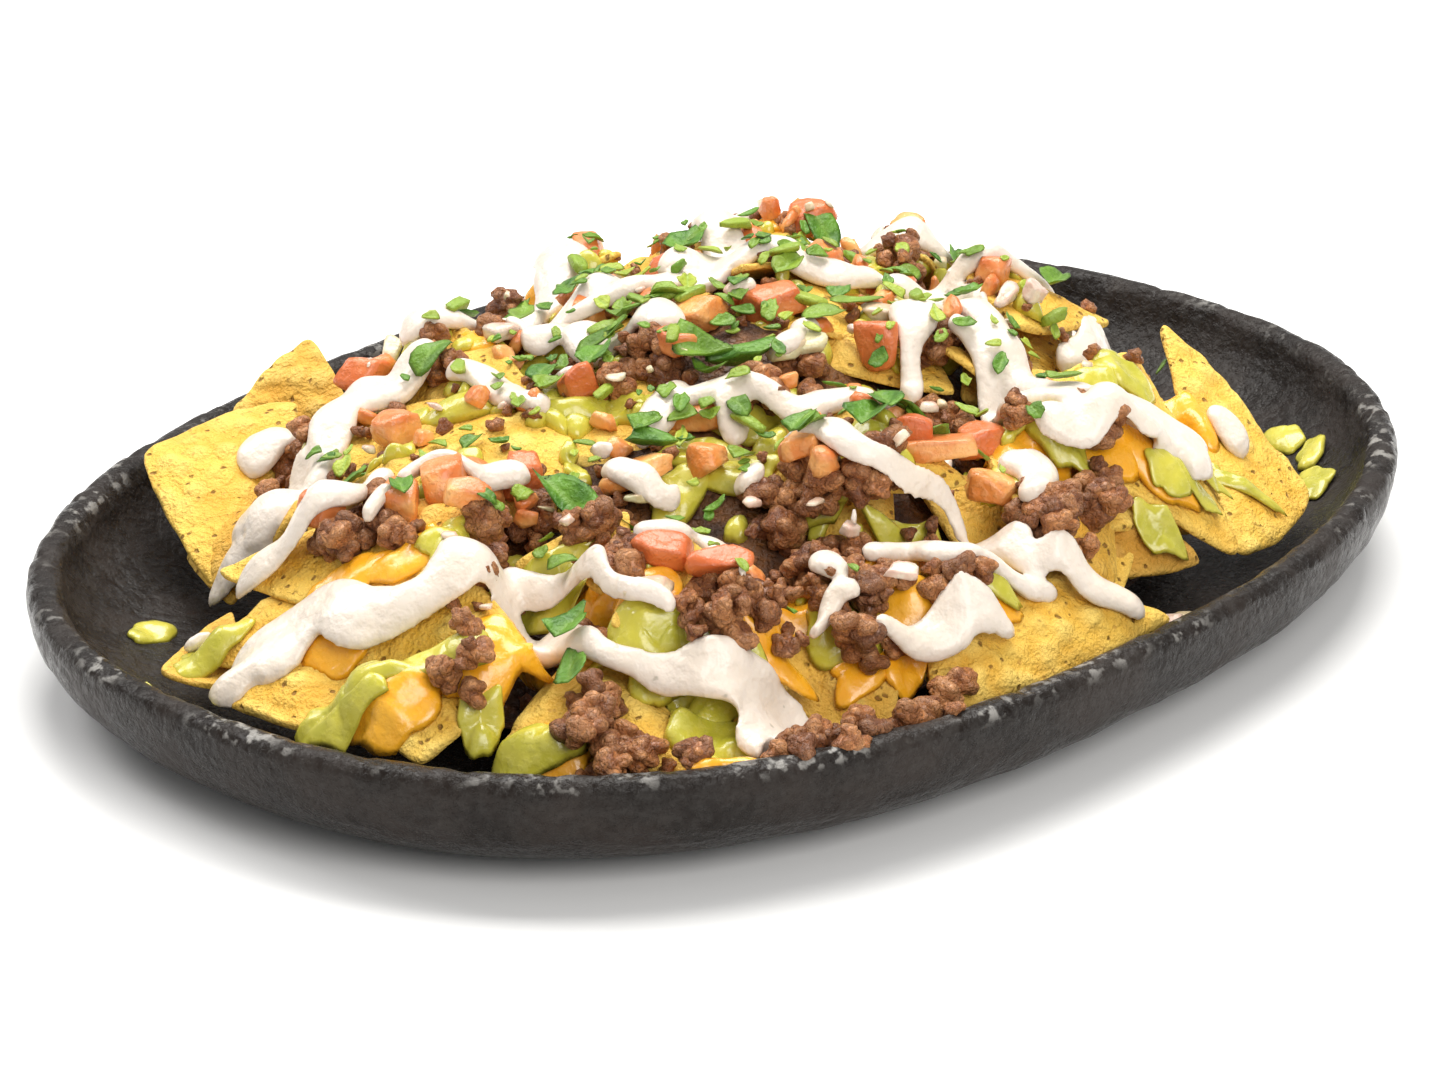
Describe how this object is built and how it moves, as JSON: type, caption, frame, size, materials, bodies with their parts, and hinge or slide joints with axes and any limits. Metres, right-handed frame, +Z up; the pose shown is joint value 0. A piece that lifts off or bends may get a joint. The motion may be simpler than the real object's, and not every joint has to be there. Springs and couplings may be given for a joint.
{
  "type": "nachos",
  "caption": "Heaped tortilla chips with beef, cheese, guacamole, sour cream, tomato and herbs, served in a shallow black oval dish.",
  "frame": {"origin": "on the table under the middle of the dish's flat foot", "axes": "+X along the dish's length, +Z up; the heap's peak leans a little towards +X and +Y"},
  "size_m": [0.32, 0.24, 0.0836],
  "materials": {
    "dish": "satin black stoneware",
    "heap": null,
    "chip": null,
    "beef": null,
    "tomato": null,
    "cheese": null,
    "guacamole": null,
    "cream": null,
    "herb": null
  },
  "bodies": {
    "root": {"beef_1": "beef", "beef_10": "beef", "beef_11": "beef", "beef_12": "beef", "beef_2": "beef", "beef_3": "beef", "beef_4": "beef", "beef_5": "beef", "beef_6": "beef", "beef_7": "beef", "beef_8": "beef", "beef_9": "beef", "cheese_1": "cheese", "cheese_2": "cheese", "cheese_3": "cheese", "cheese_4": "cheese", "cheese_5": "cheese", "chip_back_left": "chip", "chip_back_right": "chip", "chip_end_right": "chip", "chip_front_left": "chip", "chip_front_middle": "chip", "chip_front_right": "chip", "chip_front_small": "chip", "chip_left_back": "chip", "chip_left_front": "chip", "chip_left_low": "chip", "chip_left_rear": "chip", "chip_right_inner": "chip", "chip_right_long": "chip", "chip_right_outer": "chip", "chip_upper_middle": "chip", "cream_dollop_1": "cream", "cream_dollop_2": "cream", "cream_dollop_3": "cream", "cream_dollop_4": "cream", "cream_ribbon_chip": "cream", "cream_ribbon_front": "cream", "cream_ribbon_right": "cream", "cream_ribbon_top": "cream", "dish": "dish", "guacamole_1": "guacamole", "guacamole_2": "guacamole", "guacamole_3": "guacamole", "guacamole_4": "guacamole", "guacamole_5": "guacamole", "heap_core": "heap", "herb_leaf_1": "herb", "herb_leaf_2": "herb", "tomato_1": "tomato", "tomato_10": "tomato", "tomato_2": "tomato", "tomato_3": "tomato", "tomato_4": "tomato", "tomato_5": "tomato", "tomato_6": "tomato", "tomato_7": "tomato", "tomato_8": "tomato", "tomato_9": "tomato"}
  },
  "joints": []
}
